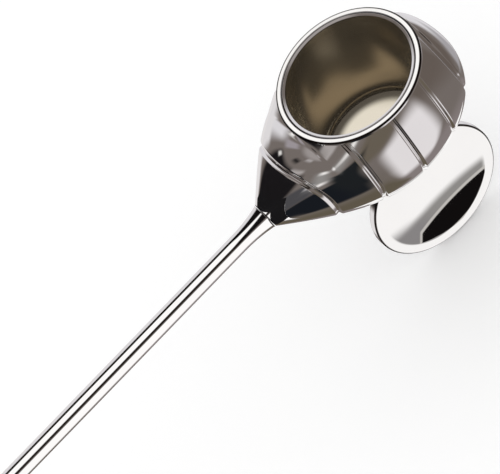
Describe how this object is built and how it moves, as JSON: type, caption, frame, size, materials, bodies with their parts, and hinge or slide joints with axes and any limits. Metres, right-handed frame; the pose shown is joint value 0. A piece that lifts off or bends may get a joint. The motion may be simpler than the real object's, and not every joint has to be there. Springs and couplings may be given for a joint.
{
  "type": "candle snuffer",
  "caption": "Long-handled snuffer: a plump ringed body with a round cup opening on its side, and a round dished disc standing edge-on under the belly.",
  "frame": {"origin": "centre of the cup's flat floor", "axes": "+Z out of the cup's mouth, +X along the handle's axis towards the rounded nose, so the handle runs to -X"},
  "size_m": [0.27, 0.0412, 0.0738],
  "materials": {
    "polished": "mirror-polished plating",
    "satin": "turned satin",
    "steel": "plain machined"
  },
  "bodies": {
    "root": {"handle_rod": "polished", "joint_stud": "steel", "body_shell": "polished", "cup_liner": "satin", "belly_disc": "polished", "disc_screw_front": "steel", "disc_washer_front": "steel", "disc_screw_rear": "steel", "disc_washer_rear": "steel"}
  },
  "joints": []
}
